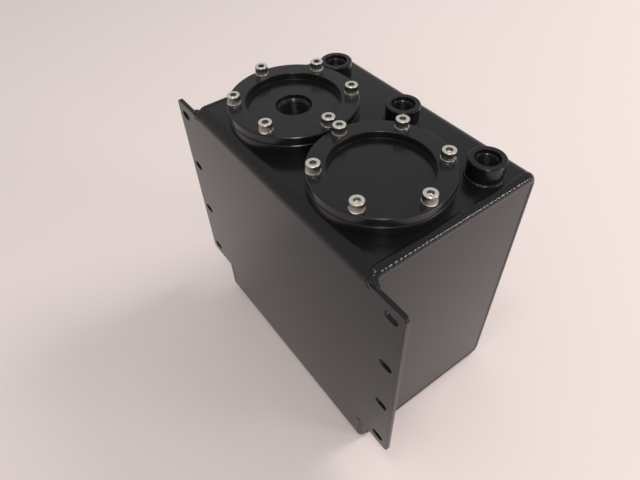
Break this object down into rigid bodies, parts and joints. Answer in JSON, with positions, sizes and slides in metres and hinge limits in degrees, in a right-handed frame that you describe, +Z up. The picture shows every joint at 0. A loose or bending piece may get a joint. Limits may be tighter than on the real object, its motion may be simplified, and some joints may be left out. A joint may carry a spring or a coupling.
{
  "type": "fuel surge tank",
  "caption": "Black welded fuel surge tank for an engine bay: folded box with slotted mounting ears, round bolted top covers, a cover port and a row of threaded bungs",
  "frame": {"origin": "middle of the base", "axes": "+X along the width, from the ported cover to the blank cover; -Y out of the front mounting face; +Z up through the covers"},
  "size_m": [0.24, 0.1278, 0.2137],
  "materials": {
    "black_coat": "satin black coat on welded aluminium sheet",
    "black_anodised": "black anodised, turned",
    "screw_steel": "plain stainless",
    "seal_rubber": "matt"
  },
  "bodies": {
    "root": {"tank_shell": "black_coat", "shell_seam_weld": "black_coat", "right_end_plate": "black_coat", "right_end_weld": "black_coat", "right_ear_weld": "black_coat", "left_end_plate": "black_coat", "left_end_weld": "black_coat", "left_ear_weld": "black_coat", "ported_cover": "black_anodised", "ported_cover_ring": "black_coat", "ported_cover_ring_weld": "black_coat", "ported_cover_seal": "seal_rubber", "ported_cover_screws": "screw_steel", "ported_cover_washers": "screw_steel", "blank_cover": "black_anodised", "blank_cover_ring": "black_coat", "blank_cover_ring_weld": "black_coat", "blank_cover_seal": "seal_rubber", "blank_cover_screws": "screw_steel", "blank_cover_washers": "screw_steel", "left_bung": "black_coat", "left_bung_weld": "black_coat", "middle_bung": "black_coat", "middle_bung_weld": "black_coat", "right_bung": "black_coat", "right_bung_weld": "black_coat"}
  },
  "joints": []
}
